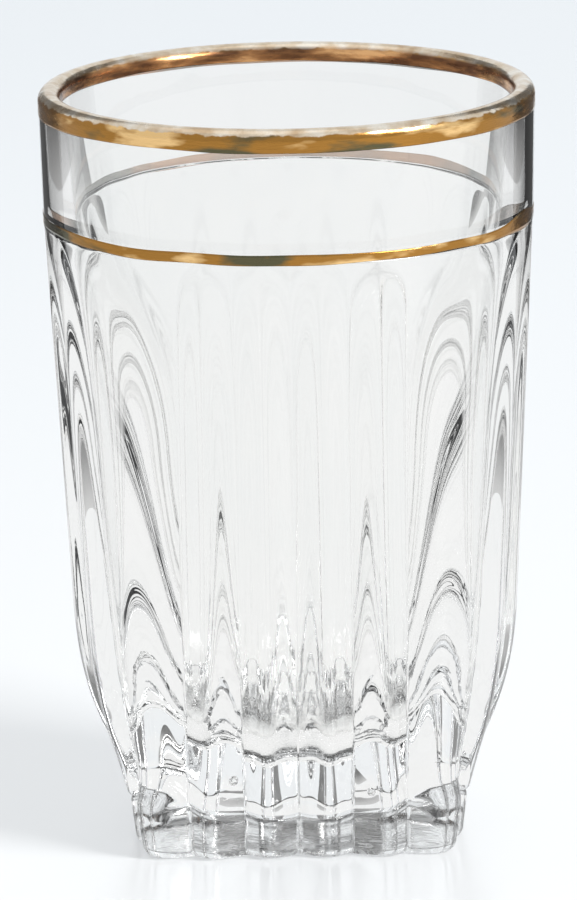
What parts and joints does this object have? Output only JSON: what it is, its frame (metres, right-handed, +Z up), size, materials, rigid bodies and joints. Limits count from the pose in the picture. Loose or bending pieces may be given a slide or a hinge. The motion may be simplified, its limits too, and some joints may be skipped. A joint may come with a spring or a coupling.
{
  "type": "chai glass",
  "caption": "Clear pressed tea tumbler: round gilded mouth, thin painted gold line below it, upright ribs and a thick square foot with rounded lobes.",
  "frame": {"origin": "middle of the foot, on the plane it stands on", "axes": "+Z up along the glass's own axis; one side of the square foot faces the front, -Y"},
  "size_m": [0.0622, 0.0622, 0.0941],
  "materials": {
    "clear_glass": "clear, fire-polished",
    "fired_gold": "glossy, thinly worn",
    "painted_gold": "glossy, hand painted"
  },
  "bodies": {
    "root": {"glass_body": "clear_glass", "rim_gilding": "fired_gold", "gold_line": "painted_gold"}
  },
  "joints": []
}
